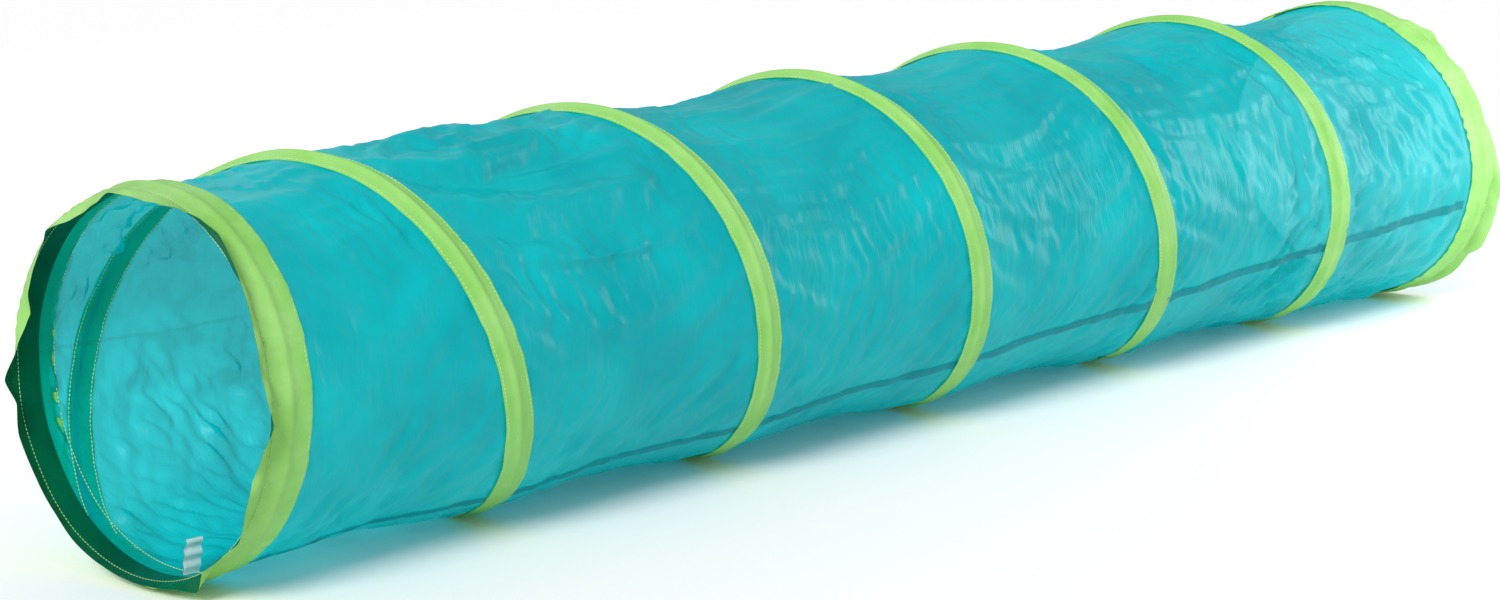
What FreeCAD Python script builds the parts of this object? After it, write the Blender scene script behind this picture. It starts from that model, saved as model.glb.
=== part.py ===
# Pop-up agility tunnel: a thin fabric tube held open by one long spring wire.
# The axis of the tunnel runs along X, the front mouth is at -X, and +Z is up.
# The origin is on the floor, under the middle of the tunnel.
# The spring leaves the front loop at the bottom, rises on the +Y side and
# meets the rear loop at the top, so it makes a whole number of turns and a half.

import FreeCAD, Part
import os
import re
import Sketcher

DRIVING_SIZES = [
    ("coil_radius", 194.0),
    ("pitch", 358.0),
    ("turns", 5.5),
    ("wire_radius", 1.5),
    ("clearance", 0.3),
    ("spring_gap", 1.0),
    ("coil_gap_angle", 0.1),
    ("cut_margin", 1.0),
    ("fabric", 0.8),
    ("casing_fabric", 1.2),
    ("casing_width", 32.0),
    ("casing_crown", 6.0),
    ("facet_depth", 27.0),
    ("hem_depth", 40.0),
    ("rest_half_width", 30.0),
    ("slide_steps", 6.0),
    ("lead_start", 6.0),
    ("ferrule_length", 18.0),
    ("ferrule_wall", 0.8),
    ("seam_width", 12.0),
    ("seam_start_angle", 27.5),
    ("seam_drift_angle", 45.5),
    ("label_width", 18.0),
    ("label_height", 36.0),
    ("label_gap", 1.0),
    ("label_fabric", 0.6),
    ("label_inset", 14.0),
    ("label_angle", 4.0),
]

DERIVED_SIZES = [
    ("spring_length", "=turns * pitch"),
    ("ridge_radius", "=coil_radius + wire_radius + clearance + casing_fabric"),
    ("tube_outer", "=coil_radius - wire_radius - spring_gap"),
    ("tube_inner", "=tube_outer - fabric"),
    ("axis_height", "=ridge_radius"),
    ("mouth_radius", "=sqrt(ridge_radius ^ 2 + rest_half_width ^ 2)"),
    ("front_plane", "=-spring_length / 2"),
    ("rear_plane", "=spring_length / 2"),
    ("mouth_depth", "=facet_depth + hem_depth"),
    ("stretch_length", "=(spring_length - 2 * facet_depth) / slide_steps"),
    ("lead_end", "=facet_depth / pitch * 360"),
    ("coil_end", "=turns * 360"),
    ("ferrule_half_angle", "=ferrule_length / 2 / coil_radius / pi * 180"),
    ("ferrule_angle", "=lead_start + ferrule_half_angle"),
    ("ferrule_span", "=(lead_start + 2 * ferrule_half_angle) / 360 * pitch"),
    ("ferrule_reach", "=wire_radius + ferrule_wall"),
]

FULL_TURNS = 5
WIRE_SIDES = 12
ROW_LETTERS = ("A", "B")

doc = FreeCAD.newDocument("agility_tunnel")
sheet = doc.addObject("Spreadsheet::Sheet", "sizes")
for row, (alias, value) in enumerate(DRIVING_SIZES + DERIVED_SIZES, start=1):
    name_cell, value_cell = (letter + str(row) for letter in ROW_LETTERS)
    sheet.set(name_cell, alias)
    sheet.set(value_cell, str(value))
    sheet.setAlias(value_cell, alias)
doc.recompute()

parts = []


def measure(expression):
    """The value of an expression that is written with the sheet's aliases."""
    return float(sheet.evalExpression(expression))


def bound(expression):
    """The same expression as another object has to write it."""
    aliases = "|".join(alias for alias, _ in DRIVING_SIZES + DERIVED_SIZES)
    return re.sub(rf"\b({aliases})\b", r"sizes.\1", expression)


def bind(thing, name, expression):
    thing.setExpression(name, bound(expression))


def place(thing, x, z="axis_height", turned="0", about="1; 0; 0", y="0"):
    """Puts a thing at (x, y, z), turned by an angle in degrees about an axis."""
    base = f"create(<<vector>>; {bound(x)}; {bound(y)}; {bound(z)})"
    axis = f"create(<<vector>>; {about})"
    rotation = f"create(<<rotation>>; {axis}; {bound(turned)})"
    thing.setExpression("Placement", f"create(<<placement>>; {base}; {rotation})")


def keep(thing, label):
    thing.Label = label
    parts.append(thing)


def origin_plane(body, role):
    return [o for o in body.Origin.OriginFeatures if o.Role == role][0]


def new_sketch(body, role, label):
    sketch = body.newObject("Sketcher::SketchObject", label)
    sketch.AttachmentSupport = [(origin_plane(body, role), "")]
    sketch.MapMode = "FlatFace"
    return sketch


def fix_distance(sketch, kind, geometry, point, expression):
    value = measure(expression)
    number = sketch.addConstraint(Sketcher.Constraint(kind, -1, 1, geometry, point, value))
    sketch.setExpression(f"Constraints[{number}]", bound(expression))


def draw_circle(sketch, radius):
    """A circle round the sketch's origin."""
    circle = Part.Circle(FreeCAD.Vector(0, 0, 0), FreeCAD.Vector(0, 0, 1), measure(radius))
    geometry = sketch.addGeometry(circle, False)
    sketch.addConstraint(Sketcher.Constraint("Coincident", geometry, 3, -1, 1))
    number = sketch.addConstraint(Sketcher.Constraint("Radius", geometry, measure(radius)))
    sketch.setExpression(f"Constraints[{number}]", bound(radius))


def draw_outline(sketch, corners):
    """A closed outline of straight lines, with each corner given by two expressions."""
    points = [FreeCAD.Vector(measure(x), measure(y), 0) for x, y in corners]
    for start, end in zip(points, points[1:] + points[:1]):
        sketch.addGeometry(Part.LineSegment(start, end), False)
    count = len(corners)
    for edge in range(count):
        sketch.addConstraint(Sketcher.Constraint("Coincident", edge, 2, (edge + 1) % count, 1))
    for edge, (x, y) in enumerate(corners):
        fix_distance(sketch, "DistanceX", edge, 1, x)
        fix_distance(sketch, "DistanceY", edge, 1, y)


def wire_section(sketch):
    """The wire's round section, as a many-sided outline that stays light when it is swept."""
    corners = []
    for side in range(WIRE_SIDES):
        angle = 360.0 / WIRE_SIDES * (side + 0.5)
        across = f"wire_radius * cos({angle} deg)"
        along = f"0 - coil_radius + wire_radius * sin({angle} deg)"
        corners.append((across, along))
    draw_outline(sketch, corners)


def casing_section(sketch):
    """A strip folded over the wire: two flat feet on the tube and a ridge between them."""
    foot = "casing_width / 2"
    crown = "casing_crown / 2"
    low = "(tube_outer + clearance)"
    wall = "casing_fabric"
    corners = [
        (f"0 - {foot}", f"0 - {low}"),
        (f"0 - {foot}", f"0 - {low} - {wall} / 2"),
        (f"0 - {crown}", "0 - ridge_radius"),
        (crown, "0 - ridge_radius"),
        (foot, f"0 - {low} - {wall} / 2"),
        (foot, f"0 - {low}"),
        (f"{foot} - {wall} * 2", f"0 - {low}"),
        (f"{crown} - {wall} / 2", f"0 - ridge_radius + {wall}"),
        (f"0 - {crown} + {wall} / 2", f"0 - ridge_radius + {wall}"),
        (f"0 - {foot} + {wall} * 2", f"0 - {low}"),
    ]
    draw_outline(sketch, corners)


def coil_stretch(label, draw, start_angle, end_angle):
    """Sweeps a section along the spring's helix, between two angles from the front loop.
    Angle 0 is the bottom of the front loop, and 360 degrees is one turn further back."""
    body = doc.addObject("PartDesign::Body", label)
    sketch = new_sketch(body, "XZ_Plane", label + "_section")
    draw(sketch)
    doc.recompute()
    sweep = body.newObject("PartDesign::AdditiveHelix", label + "_sweep")
    sweep.Profile = sketch
    sweep.ReferenceAxis = (sketch, ["H_Axis"])
    sweep.Mode = 0
    bind(sweep, "Pitch", "pitch")
    bind(sweep, "Height", f"({end_angle} - ({start_angle})) / 360 * pitch")
    place(body, f"front_plane + ({start_angle}) / 360 * pitch", turned=start_angle)
    keep(body, label)


def tube_stretch(label, start, length):
    body = doc.addObject("PartDesign::Body", label)
    sketch = new_sketch(body, "YZ_Plane", label + "_section")
    draw_circle(sketch, "tube_outer")
    draw_circle(sketch, "tube_inner")
    doc.recompute()
    pad = body.newObject("PartDesign::Pad", label + "_pad")
    pad.Profile = sketch
    bind(pad, "Length", length)
    place(body, start)
    keep(body, label)


def seam_stretch(label, number):
    """One stretch of the tube's lengthwise seam, which drifts slowly round the tube."""
    body = doc.addObject("PartDesign::Body", label)
    sketch = new_sketch(body, "YZ_Plane", label + "_section")
    half = "seam_width / 2"
    outer = "(tube_inner - clearance)"
    inner = "(tube_inner - clearance - fabric)"
    corners = [
        (f"0 - {half}", f"0 - {inner}"),
        (f"0 - {half}", f"0 - {outer}"),
        (half, f"0 - {outer}"),
        (half, f"0 - {inner}"),
    ]
    draw_outline(sketch, corners)
    doc.recompute()
    pad = body.newObject("PartDesign::Pad", label + "_pad")
    pad.Profile = sketch
    bind(pad, "Length", "stretch_length - 2 * clearance")
    start = f"front_plane + facet_depth + {number} * stretch_length + clearance"
    share = f"(({number} + 0.5) / slide_steps)"
    place(body, start, turned=f"0 - seam_start_angle - seam_drift_angle * {share}")
    keep(body, label)


def loop(label, plane):
    """A closed ring of the wire, which holds one mouth open."""
    ring = doc.addObject("Part::Torus", label)
    bind(ring, "Radius1", "coil_radius")
    bind(ring, "Radius2", "wire_radius")
    place(ring, plane, turned="90", about="0; 1; 0")
    keep(ring, label)


def turned_cylinder(label, x, radius, length):
    cylinder = doc.addObject("Part::Cylinder", label)
    bind(cylinder, "Radius", radius)
    bind(cylinder, "Height", length)
    place(cylinder, x, turned="90", about="0; 1; 0")
    return cylinder


def boolean(kind, label, base, tool):
    result = doc.addObject("Part::" + kind, label)
    result.Base = base
    result.Tool = tool
    return result


def flat_bottomed(label, x, radius, length, floor_gap):
    """A round bar along X whose underside is cut flat, floor_gap above the floor."""
    bar = turned_cylinder(label + "_round", x, radius, length)
    block = doc.addObject("Part::Box", label + "_block")
    bind(block, "Length", length)
    bind(block, "Width", "2 * mouth_radius + 2 * cut_margin")
    bind(block, "Height", "2 * mouth_radius + 2 * cut_margin")
    place(block, x, z=floor_gap, y="0 - mouth_radius - cut_margin")
    return boolean("Common", label, bar, block)


def mouth_casing(label, outer_end, inward):
    """The wide casing round one mouth: a sleeve over the wire loop that ends in the hem.
    Its underside lies flat on the floor. outer_end is the hem's edge."""
    start = outer_end if inward > 0 else f"{outer_end} - mouth_depth"
    hollow_start = f"{start} + casing_fabric" if inward > 0 else f"{start} - cut_margin"
    outside = flat_bottomed(label + "_outside", start, "mouth_radius", "mouth_depth", "0")
    inner_radius = "mouth_radius - casing_fabric"
    hollow_reach = "mouth_depth - casing_fabric + cut_margin"
    hollow = flat_bottomed(label + "_hollow", hollow_start, inner_radius, hollow_reach, "casing_fabric")
    sleeve = boolean("Cut", label + "_sleeve", outside, hollow)
    bore_reach = "mouth_depth + 2 * cut_margin"
    bore = turned_cylinder(label + "_bore", f"{start} - cut_margin", "tube_outer + clearance", bore_reach)
    keep(boolean("Cut", label, sleeve, bore), label)


def ferrule(label, plane, angle, ring, lead, side):
    """A crimped steel sleeve that holds the end of the spring beside its loop."""
    block = doc.addObject("Part::Box", label + "_block")
    bind(block, "Length", "ferrule_span + 2 * ferrule_reach")
    bind(block, "Width", "ferrule_length")
    bind(block, "Height", "2 * ferrule_reach")
    span_before = "0" if side > 0 else "ferrule_span"
    base = f"create(<<vector>>; {bound(plane)}; 0; {bound('axis_height')})"
    turn = f"create(<<rotation>>; create(<<vector>>; 1; 0; 0); {bound(angle)})"
    across = bound(f"0 - {span_before} - ferrule_reach")
    drop = bound("0 - coil_radius - ferrule_reach")
    offset = f"create(<<vector>>; {across}; {bound('0 - ferrule_length / 2')}; {drop})"
    shift = f"create(<<placement>>; {offset}; create(<<rotation>>; create(<<vector>>; 1; 0; 0); 0))"
    block.setExpression("Placement", f"create(<<placement>>; {base}; {turn}) * {shift}")
    without_ring = boolean("Cut", label + "_ring_cut", block, ring)
    keep(boolean("Cut", label, without_ring, lead), label)


def care_label():
    """A strip folded in two, standing up from the bottom of the tube inside the front mouth."""
    body = doc.addObject("PartDesign::Body", "care_label")
    sketch = new_sketch(body, "YZ_Plane", "care_label_section")
    foot = "0 - tube_inner + clearance * 2"
    top = f"{foot} + label_height"
    wide = "label_gap / 2 + label_fabric"
    slim = "label_gap / 2"
    corners = [
        (f"0 - ({wide})", foot),
        (f"0 - ({slim})", foot),
        (f"0 - ({slim})", f"{top} - label_fabric"),
        (slim, f"{top} - label_fabric"),
        (slim, foot),
        (wide, foot),
        (wide, top),
        (f"0 - ({wide})", top),
    ]
    draw_outline(sketch, corners)
    doc.recompute()
    pad = body.newObject("PartDesign::Pad", "care_label_pad")
    pad.Profile = sketch
    bind(pad, "Length", "label_width")
    place(body, "front_plane + label_inset", turned="0 - label_angle")
    keep(body, "care_label")


def find(label):
    return [thing for thing in parts if thing.Label == label][0]


loop("front_loop", "front_plane")
loop("rear_loop", "rear_plane")
coil_stretch("front_lead", wire_section, "lead_start", "lead_end - coil_gap_angle")
coil_stretch("rear_lead", wire_section, "coil_end - lead_end + coil_gap_angle", "coil_end - lead_start")
mouth_casing("front_mouth_casing", "front_plane - hem_depth", 1)
mouth_casing("rear_mouth_casing", "rear_plane + hem_depth", -1)
tube_stretch("front_tube_edge", "front_plane - hem_depth", "mouth_depth - clearance")
tube_stretch("rear_tube_edge", "rear_plane - facet_depth + clearance", "mouth_depth - clearance")
ferrule("front_ferrule", "front_plane", "ferrule_angle", find("front_loop"), find("front_lead"), 1)
rear_angle = "coil_end - ferrule_angle"
ferrule("rear_ferrule", "rear_plane", rear_angle, find("rear_loop"), find("rear_lead"), -1)
care_label()

for turn in range(1, FULL_TURNS + 2):
    start_angle = "lead_end + coil_gap_angle"
    if turn > 1:
        start_angle = f"{turn - 1} * 360 + coil_gap_angle"
    end_angle = "coil_end - lead_end - coil_gap_angle"
    if turn <= FULL_TURNS:
        end_angle = f"{turn} * 360 - coil_gap_angle"
    coil_stretch(f"spring_turn_{turn}", wire_section, start_angle, end_angle)
    coil_stretch(f"spiral_casing_{turn}", casing_section, start_angle, end_angle)
    tube_start = f"front_plane + facet_depth + {turn - 1} * stretch_length + clearance"
    tube_stretch(f"tube_stretch_{turn}", tube_start, "stretch_length - 2 * clearance")
    seam_stretch(f"seam_stretch_{turn}", turn - 1)

doc.recompute()

for thing in doc.Objects:
    if "Invalid" in thing.State or "Error" in thing.State:
        raise RuntimeError(f"{thing.Label} failed: {thing.State}")

os.makedirs("parts", exist_ok=True)
for thing in parts:
    shape = thing.Shape
    if shape.isNull() or not shape.isValid() or shape.Volume <= 0:
        raise RuntimeError(f"{thing.Label} has no valid solid")
    shape.exportStep(f"parts/{thing.Label}.step")
    box = shape.BoundBox
    extent = [box.XMin, box.XMax, box.YMin, box.YMax, box.ZMin, box.ZMax]
    print(thing.Label, len(shape.Solids), round(shape.Volume), [round(v, 1) for v in extent])
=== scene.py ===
"""Looks of a pop-up agility tunnel: a thin see-through tube on one long spring wire, in a bright casing.

Everything is worked out on the tube's own two coordinates: x, the distance along the tunnel, and angle,
which is 0 on the +Y side, a quarter turn at the top and grows towards -Y. The coil starts at the bottom of
the front loop and is counted in turns from there. All sizes are in metres.
"""

import math

import bpy
import numpy as np
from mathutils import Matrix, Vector


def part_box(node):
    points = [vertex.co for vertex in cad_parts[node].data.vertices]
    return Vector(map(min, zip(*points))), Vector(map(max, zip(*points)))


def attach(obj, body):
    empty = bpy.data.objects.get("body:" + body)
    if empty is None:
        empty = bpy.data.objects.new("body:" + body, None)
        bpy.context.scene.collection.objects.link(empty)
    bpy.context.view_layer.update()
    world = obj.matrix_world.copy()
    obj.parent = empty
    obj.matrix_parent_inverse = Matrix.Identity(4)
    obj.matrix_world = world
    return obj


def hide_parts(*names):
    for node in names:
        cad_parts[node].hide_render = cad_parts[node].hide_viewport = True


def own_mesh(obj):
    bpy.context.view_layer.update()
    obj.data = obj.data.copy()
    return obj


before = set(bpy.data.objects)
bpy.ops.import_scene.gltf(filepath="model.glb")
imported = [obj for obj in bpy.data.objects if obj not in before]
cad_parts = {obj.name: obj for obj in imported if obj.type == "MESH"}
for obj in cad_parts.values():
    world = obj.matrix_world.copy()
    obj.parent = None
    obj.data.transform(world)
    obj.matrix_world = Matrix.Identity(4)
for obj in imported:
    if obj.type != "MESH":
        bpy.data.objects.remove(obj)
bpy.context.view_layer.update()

MM = 0.001
FULL = 2 * math.pi

# ---------------------------------------------------------------- sizes, from the frame

front_low, front_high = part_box("front_loop")
rear_low, rear_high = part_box("rear_loop")
FRONT = (front_low.x + front_high.x) / 2
REAR = (rear_low.x + rear_high.x) / 2
AXIS = (front_low.z + front_high.z) / 2
WIRE = (front_high.x - front_low.x) / 2
COIL = (front_high.z - front_low.z) / 2 - WIRE
TURNS = 5.5
PITCH = (REAR - FRONT) / TURNS
FRONT_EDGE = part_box("front_mouth_casing")[1].x
REAR_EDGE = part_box("rear_mouth_casing")[0].x
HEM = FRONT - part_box("front_mouth_casing")[0].x
CASING_HALF = 18 * MM
BODIES = ["turn_1", "turn_2", "turn_3", "turn_4", "turn_5", "rear_end"]
STRETCH = (REAR_EDGE - FRONT_EDGE) / len(BODIES)

SKIN = COIL - WIRE - 0.5 * MM
RIDGE = COIL + WIRE + 0.8 * MM
FACET = FRONT_EDGE - FRONT
STITCH_LINE = 20 * MM

# Where the coil lies along the tunnel, against even spacing: pairs of turn and millimetres.
LAY = [
    (0, 0), (0.09, -25), (0.35, -24), (0.5, 0), (1, 21), (1.5, 32), (2, 6),
    (2.5, 22), (3, -9), (3.5, -12), (4, -20), (4.5, 0), (5, -48), (5.5, 0),
]
REAR_LEAN_DOWN = 0.064
REAR_LEAN_ACROSS = 0.106

# How much higher than its CAD place the top of the tube stands, from the front mouth to the rear one.
CROWN = [(FRONT, -5), (FRONT + 0.26, 5), (REAR - 0.45, 5), (REAR, -10)]
# How far the casing's edges lie under its ridge on top of the tube, where the cloth hangs from it.
TOP_SLOPE = 4.5 * MM
# How far the cloth starts in from the coil midway between its turns, on top of the tube, in millimetres.
TOP_SLACK = [
    (FRONT + 0.15, 0), (FRONT + 0.26, -24), (FRONT + 0.45, -24), (FRONT + 0.62, 10), (REAR - 0.4, 13), (REAR, 4),
]

# How far out of round each mouth's loop stands, by angle in degrees, in millimetres, and how far along
# the tunnel this fades out.
FRONT_ROUND = [(0, -12), (30, -15), (60, -13), (90, -5), (120, 0), (240, 0), (300, -2), (335, -7), (360, -12)]
REAR_ROUND = [(0, 0), (90, -1), (125, -10), (160, -9), (190, -1), (225, 5), (275, 0), (360, 0)]
ROUND_REACH = 0.35
# Nothing goes lower than this over the floor.
FLOOR_GAP = 0.6 * MM

# ---------------------------------------------------------------- the tube's coordinates


def smooth_steps(pairs, at):
    """The second numbers of the pairs, joined by smooth steps over the first ones."""
    knots = np.array([pair[0] for pair in pairs], float)
    values = np.array([pair[1] for pair in pairs], float)
    at = np.clip(at, knots[0], knots[-1])
    low = np.clip(np.searchsorted(knots, at, side="right") - 1, 0, len(knots) - 2)
    share = 0.5 - 0.5 * np.cos(math.pi * (at - knots[low]) / (knots[low + 1] - knots[low]))
    return values[low] * (1 - share) + values[low + 1] * share


def coil_lay(turn):
    return MM * smooth_steps(LAY, turn)


def rear_lay(angle):
    down = REAR_LEAN_DOWN * (1 - np.sin(angle))
    return COIL * (down - REAR_LEAN_ACROSS * np.cos(angle))


def first_turn(angle):
    """Where the coil first crosses an angle, in turns."""
    return ((angle + math.pi / 2) / FULL) % 1.0


def lay(x, angle):
    """How far the cloth at (x, angle) is moved along the tunnel by the coil's uneven spacing."""
    turn = (x - FRONT) / PITCH
    start = first_turn(angle)
    behind = start + np.floor(turn - start)
    ahead = behind + 1
    at_behind = np.where(behind < 0, 0.0, coil_lay(behind))
    at_ahead = np.where(ahead > TURNS, rear_lay(angle), coil_lay(ahead))
    behind = np.maximum(behind, 0)
    ahead = np.minimum(ahead, TURNS)
    share = np.clip((turn - behind) / np.maximum(ahead - behind, 1e-6), 0, 1)
    return np.where(turn <= 0, 0.0, at_behind * (1 - share) + at_ahead * share)


def upper(angle):
    """From 0 at the sides and below to 1 at the top."""
    return np.clip(np.sin(angle), 0, 1) ** 1.5


def out_of_round(x, angle):
    degrees = np.degrees(angle) % 360
    front = smooth_steps(FRONT_ROUND, degrees) * np.clip(1 - (x - FRONT) / ROUND_REACH, 0, 1)
    rear = smooth_steps(REAR_ROUND, degrees) * np.clip(1 - (REAR - x) / ROUND_REACH, 0, 1)
    return MM * (front + rear)


def settle(x, angle, radius):
    """Points round the axis, out of round by the mouths, with the top raised or lowered to where it stands."""
    x, angle, radius = np.broadcast_arrays(x, angle, radius)
    radius = radius + out_of_round(x, angle)
    across, up = radius * np.cos(angle), AXIS + radius * np.sin(angle)
    up = up + MM * smooth_steps(CROWN, x) * upper(angle)
    return np.stack([x, across, np.maximum(up, FLOOR_GAP)], axis=-1)


def place(x, angle, radius):
    """Points at (x, angle), moved along the tunnel with the coil's uneven spacing."""
    return settle(x + lay(x, angle), angle, radius)


def on_coil(turn):
    """The coil's x and angle at a number of turns."""
    return FRONT + PITCH * turn, turn * FULL - math.pi / 2


def from_coil(x, angle):
    """How far along the tunnel the nearest crossing of the coil is."""
    start = first_turn(angle)
    turn = (x - FRONT) / PITCH
    nearest = start + np.clip(np.round(turn - start), 0, np.floor(TURNS - start))
    return np.abs(turn - nearest) * PITCH


# ---------------------------------------------------------------- meshes


def unit(vectors):
    return vectors / np.linalg.norm(vectors, axis=-1, keepdims=True)


def away_from_axis(points):
    """Unit vectors from the tunnel's axis to each point."""
    out = points - np.array([0, 0, AXIS])
    out[:, 0] = 0
    return unit(out)


def new_piece(name, points, faces, material, body, flat_uv=None):
    """A smooth mesh that rides on a body; flat_uv places each point on the flat cloth, in metres."""
    mesh = bpy.data.meshes.new(name)
    mesh.from_pydata(np.asarray(points, float).tolist(), [], np.asarray(faces).tolist())
    if flat_uv is not None:
        layer = mesh.uv_layers.new(name="cloth")
        corners = np.zeros(len(mesh.loops), np.int32)
        mesh.loops.foreach_get("vertex_index", corners)
        layer.data.foreach_set("uv", np.asarray(flat_uv)[corners].ravel().astype(np.float32))
    mesh.polygons.foreach_set("use_smooth", [True] * len(mesh.polygons))
    mesh.validate()
    piece = bpy.data.objects.new(name, mesh)
    bpy.context.scene.collection.objects.link(piece)
    piece.data.materials.append(material)
    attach(piece, body)
    return piece


def grid_faces(rows, columns, closed=False):
    """Quads between rows of points; closed joins each row's last point to its first."""
    row = np.arange(rows - 1)[:, None]
    column = np.arange(columns if closed else columns - 1)[None, :]
    after = (column + 1) % columns
    here, above = row * columns, (row + 1) * columns
    corners = [here + column, here + after, above + after, above + column]
    return np.stack([np.broadcast_to(c, (rows - 1, column.shape[1])) for c in corners], axis=-1).reshape(-1, 4)


def closes_with(piece):
    """Gives a soft piece that rides on one of BODIES its own copy of its mesh."""
    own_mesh(piece)


# ---------------------------------------------------------------- cloth noise

# How narrow a band of wavelengths each ripple keeps.
BAND_SHARPNESS = 4.5


def ripple(seed, shape, spacing, length, slant=0.0, stretch=1.0):
    """Seeded smooth noise over (x, angle), with waves of about that length, stretched along a slant."""
    generator = np.random.default_rng(seed)
    noise = np.fft.fft2(generator.standard_normal(shape))
    along = np.fft.fftfreq(shape[0], spacing[0])[:, None]
    round_it = np.fft.fftfreq(shape[1], spacing[1])[None, :]
    turned_a = along * math.cos(slant) + round_it * math.sin(slant)
    turned_b = round_it * math.cos(slant) - along * math.sin(slant)
    size = np.hypot(turned_a, turned_b * stretch) * length
    band = np.exp(-BAND_SHARPNESS * np.log(np.maximum(size, 1e-9)) ** 2)
    field = np.real(np.fft.ifft2(noise * band))
    return field / field.std()


# ---------------------------------------------------------------- the tube's cloth

AROUND = 168
STEP = 7.4 * MM
SPACING = (STEP, FULL * COIL / AROUND)
# The upper of the tube's two long seams shows only as a narrow tuck.
TUCK_ANGLE = math.radians(125)
# The lower one drifts round the tube from the front mouth to the rear one.
SEAM_START = math.radians(-90 - 27.5)
SEAM_DRIFT = math.radians(-45.5)
SEAM_HALF = 6 * MM
# How long the cloth hangs before its shape is taken.
HANG_FRAMES = 28
# The cloth is free of the casing's stitching this far inside its edge.
HELD_LAP = 3 * MM


def seam_angle(x):
    return SEAM_START + SEAM_DRIFT * (x - FRONT) / (REAR - FRONT)


def stations():
    """x of each ring of points, with rings exactly at both casings' inner edges."""
    marks = [FRONT - STITCH_LINE, FRONT_EDGE, REAR_EDGE, REAR + STITCH_LINE]
    parts = []
    for start, end in zip(marks[:-1], marks[1:]):
        count = max(2, round((end - start) / STEP))
        parts.append(np.linspace(start, end, count, endpoint=False))
    return np.append(np.concatenate(parts), marks[-1])


def held_radius(gap, angle):
    """The tube's radius under the casing, at a distance from the wire."""
    return SKIN - TOP_SLOPE * upper(angle) * np.clip(gap / CASING_HALF, 0, 1) ** 1.3


def start_radius(x, angle):
    """The tube before it hangs: tight to the coil, and drawn in a little between its turns."""
    waist = MM * (5 - 5 * np.sin(angle) + smooth_steps(TOP_SLACK, x) * upper(angle))
    gap = from_coil(x, angle)
    mouth = np.minimum(np.abs(x - FRONT_EDGE), np.abs(REAR_EDGE - x))
    inside = (x > FRONT_EDGE) & (x < REAR_EDGE)
    room = np.where(inside, np.minimum(gap, mouth + CASING_HALF) / (PITCH / 2), 0)
    return held_radius(np.where(inside, gap, 0), angle) - waist * np.sin(np.clip(room, 0, 1) * math.pi / 2) ** 2


def hang(points, held):
    """Cloth simulation of the tube, held along the coil and the mouths."""
    rows, columns = held.shape
    mesh = bpy.data.meshes.new("hanging")
    faces = grid_faces(rows, columns, closed=True)
    mesh.from_pydata(points.reshape(-1, 3).tolist(), [], faces.tolist())
    cloth = bpy.data.objects.new("hanging", mesh)
    bpy.context.scene.collection.objects.link(cloth)
    group = cloth.vertex_groups.new(name="held")
    group.add([int(i) for i in np.flatnonzero(held)], 1.0, "REPLACE")
    settings = cloth.modifiers.new("cloth", "CLOTH").settings
    settings.vertex_group_mass = "held"
    settings.quality = 6
    settings.mass = 0.08
    settings.tension_stiffness = 30
    settings.compression_stiffness = 25
    settings.shear_stiffness = 12
    settings.bending_stiffness = 0.08
    settings.air_damping = 2
    settings.effector_weights.gravity = 0.3
    settings.shrink_min = -0.0015
    scene = bpy.context.scene
    for number in range(1, HANG_FRAMES + 1):
        scene.frame_set(number)
    shown = cloth.evaluated_get(bpy.context.evaluated_depsgraph_get())
    found = np.zeros(len(mesh.vertices) * 3)
    shown.data.vertices.foreach_get("co", found)
    bpy.data.objects.remove(cloth)
    scene.frame_set(1)
    return found.reshape(rows, columns, 3)


def doubled(values, closed):
    """The values with one more between each pair, on a smooth curve through them."""
    before = np.roll(values, 1, 0) if closed else np.concatenate([values[:1], values[:-1]])
    after = np.roll(values, -1, 0) if closed else np.concatenate([values[1:], values[-1:]])
    beyond = np.roll(values, -2, 0) if closed else np.concatenate([values[2:], values[-1:], values[-1:]])
    middle = (9 * (values + after) - before - beyond) / 16
    out = np.empty((2 * len(values),) + values.shape[1:])
    out[0::2], out[1::2] = values, middle
    return out if closed else out[:-1]


def make_tube():
    """Points of the tube's cloth as rows of rings, with their x and angle before laying."""
    x = stations()
    angle = np.arange(AROUND) / AROUND * FULL
    xs, angles = np.meshgrid(x, angle, indexing="ij")
    radius = start_radius(xs, angles)
    loose = (from_coil(xs, angles) > CASING_HALF - HELD_LAP) & (xs > FRONT_EDGE) & (xs < REAR_EDGE)
    shape = xs.shape
    wobble = ripple(1, shape, SPACING, 90 * MM) + ripple(2, shape, SPACING, 40 * MM, 0.6, 2.0)
    radius = radius + np.where(loose, 0.5 * MM * wobble, 0)
    points = place(xs, angles, radius)
    points = hang(points, ~loose)
    fine = doubled(doubled(points, False).transpose(1, 0, 2), True).transpose(1, 0, 2)
    fine_x = doubled(x, False)
    fine_angle = np.arange(2 * AROUND) / (2 * AROUND) * FULL
    return fine, fine_x, fine_angle


TUBE, TUBE_X, TUBE_ANGLE = make_tube()


# How deep the creases are, in millimetres: everywhere, on the far wall, and on the near side of the last
# section of the tunnel and of the one before it.
EVEN_CREASE, FAR_CREASE, LAST_CREASE, FIFTH_CREASE = 2.3, 5.0, 3.8, 1.6
LAST_START, FIFTH_MIDDLE = REAR - 0.46, REAR - 0.60
FOLD_SHARE, SOFT_SHARE, FINE_SHARE = 0.9, 0.35, 0.14
# The creases are shallower along the crest and beside the seam.
CREST_ANGLE, CREST_SPREAD, CREST_CALM = math.radians(78), math.radians(26), 0.65
SEAM_REACH, SEAM_CALM = 9 * MM, 0.85
# They grow over this distance from the casing, and over this one from the mouths' casings.
CASING_FADE, MOUTH_FADE = 16 * MM, 12 * MM
GATHER_DEPTH, GATHER_REACH = 0.55 * MM, 15 * MM
TUCK_DEPTH, TUCK_HALF = 0.9 * MM, 1.6 * MM


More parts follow.
